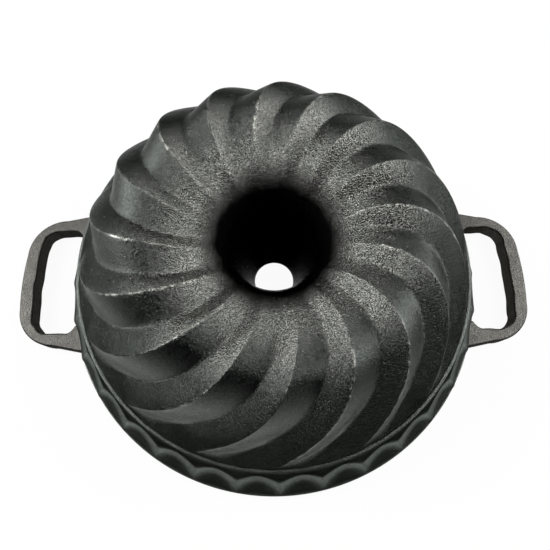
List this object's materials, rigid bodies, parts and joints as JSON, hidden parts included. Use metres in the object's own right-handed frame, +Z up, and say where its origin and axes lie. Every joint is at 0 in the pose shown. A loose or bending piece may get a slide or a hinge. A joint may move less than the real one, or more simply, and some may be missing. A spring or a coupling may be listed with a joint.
{
  "type": "ring cake pan",
  "caption": "Round cast iron ring cake pan stood upside down: swirled lobes around a hollow centre cone, a scalloped flared skirt, and a loop handle on each side.",
  "frame": {"origin": "centre of the rim's resting face, on the plane that the pan stands on, which is the bottom centre of its box", "axes": "+X towards the right handle, +Y towards the far side of the picture, +Z up along the centre tube from the rim to the crown"},
  "size_m": [0.3252, 0.26, 0.1],
  "materials": {
    "seasoned_iron_rim": "seasoned black, fine cast grain, edge rubbed bright",
    "seasoned_iron_skirt": "seasoned black, fine cast grain",
    "seasoned_iron_wall": "seasoned black, pebbly cast grain with a low sheen",
    "seasoned_iron_shoulder": "seasoned dark grey, pebbly cast grain with a low sheen",
    "seasoned_iron_funnel": "seasoned dark grey, pebbly cast grain with a low sheen",
    "seasoned_iron_tube": "seasoned black, matt",
    "seasoned_iron_handle": "seasoned grey iron, fine pits, flat ground top"
  },
  "bodies": {
    "root": {"rim_band": "seasoned_iron_rim", "scalloped_skirt": "seasoned_iron_skirt", "fluted_wall": "seasoned_iron_wall", "shoulder": "seasoned_iron_shoulder", "funnel": "seasoned_iron_funnel", "centre_tube": "seasoned_iron_tube", "handle_right": "seasoned_iron_handle", "handle_left": "seasoned_iron_handle"}
  },
  "joints": []
}
